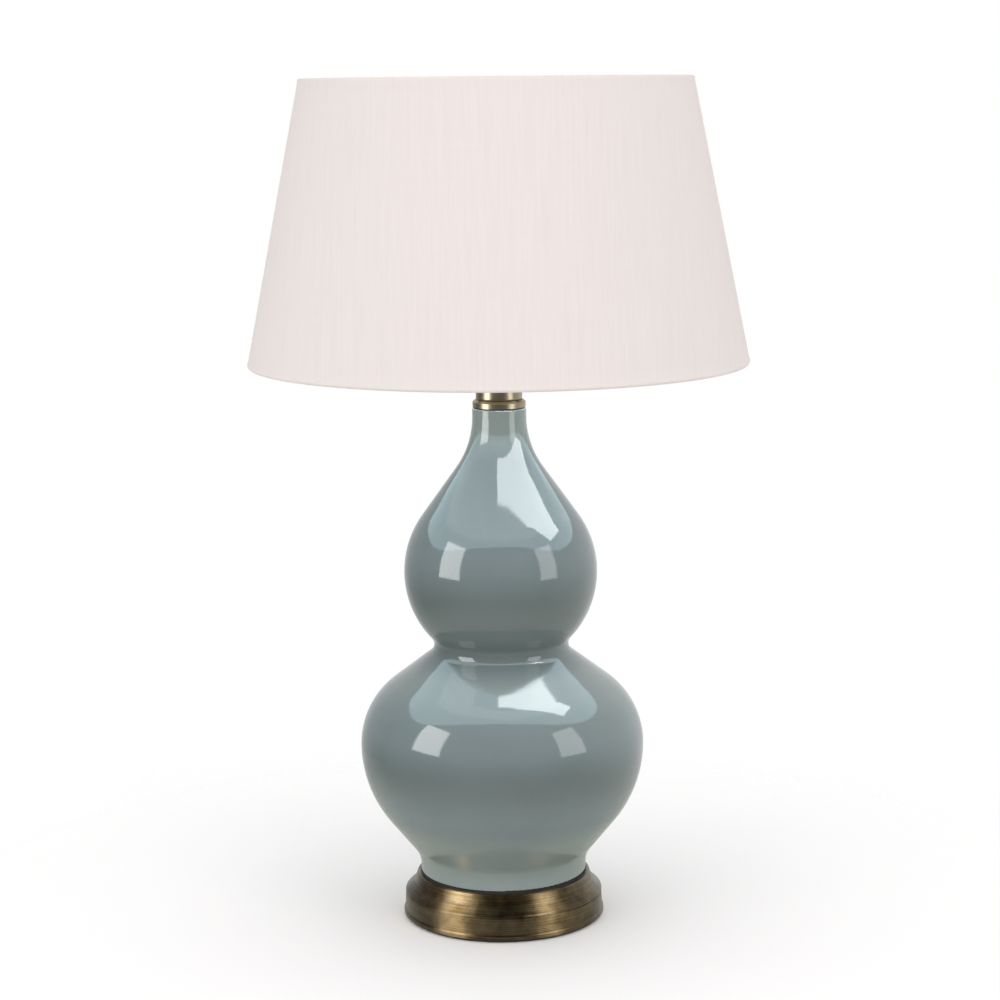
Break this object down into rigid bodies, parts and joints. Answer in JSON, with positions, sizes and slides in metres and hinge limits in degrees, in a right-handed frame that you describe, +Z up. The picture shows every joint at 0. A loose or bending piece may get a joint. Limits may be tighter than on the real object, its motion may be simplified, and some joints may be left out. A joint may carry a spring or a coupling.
{
  "type": "table lamp",
  "caption": "Double gourd table lamp: glazed ceramic body on a spun brass foot, switched lampholder and tapered fabric drum shade.",
  "frame": {"origin": "centre of the felt pad's underside, on the lamp's axis", "axes": "+Z up along the lamp's axis, -Y to the front, +Y to the flex bush at the back, +X to the switch's pushed-home knob"},
  "size_m": [0.3994, 0.3994, 0.6797],
  "materials": {
    "celadon_glaze": "gloss glaze over cast ceramic",
    "antique_brass": "brushed and darkened, lacquered",
    "bright_brass": "bright drawn",
    "black_felt": "felt",
    "black_rubber": "matt moulded",
    "plated_steel": "zinc plated",
    "grey_iron": "as cast",
    "white_porcelain": "satin glazed",
    "black_plastic": "moulded",
    "white_wire": "white powder coat",
    "white_liner": "matt sheet",
    "ivory_cloth": "fine slub weave",
    "bulb_aluminium": "drawn",
    "opal_glass": "opal",
    "black_glass": "fused insulator",
    "solder": "soldered"
  },
  "bodies": {
    "lamp_base": {"felt_pad": "black_felt", "brass_foot": "antique_brass", "base_cover_plate": "plated_steel", "ballast_disc": "grey_iron", "cord_grommet": "black_rubber", "rod_washer": "plated_steel", "rod_nut": "plated_steel", "threaded_rod": "plated_steel", "foot_gasket": "black_rubber", "gourd_body": "celadon_glaze", "neck_seal": "black_rubber", "neck_cap": "antique_brass", "holder_cup": "antique_brass", "holder_lock_nut": "plated_steel", "holder_porcelain": "white_porcelain", "holder_barrel": "antique_brass", "terminal_screws": "bright_brass", "screw_sleeve": "bright_brass", "centre_contact": "bright_brass", "switch_blade": "bright_brass"},
    "switch": {"switch_bar": "black_plastic", "switch_knobs": "black_plastic"},
    "shade": {"shade_carrier": "white_wire", "shade_bottom_ring": "white_wire", "shade_top_ring": "white_wire", "shade_liner": "white_liner", "shade_fabric": "ivory_cloth"},
    "screw_ring": {"shade_screw_ring": "antique_brass"},
    "bulb": {"bulb_tip": "solder", "bulb_insulator": "black_glass", "bulb_cap": "bulb_aluminium", "bulb_glass": "opal_glass"}
  },
  "joints": [
    {"name": "switch_push", "type": "slide", "parent": "lamp_base", "child": "switch", "axis": [1, 0, 0], "range_m": [0, 0.006]},
    {"name": "shade_turn", "type": "hinge", "parent": "lamp_base", "child": "shade", "pos_m": [0, 0, 0.467], "axis": [0, 0, 1], "continuous": true},
    {"name": "ring_turn", "type": "hinge", "parent": "lamp_base", "child": "screw_ring", "pos_m": [0, 0, 0.471], "axis": [0, 0, 1], "continuous": true},
    {"name": "bulb_lift", "type": "slide", "parent": "lamp_base", "child": "bulb", "axis": [0, 0, 1], "range_m": [0, 0.24]}
  ]
}
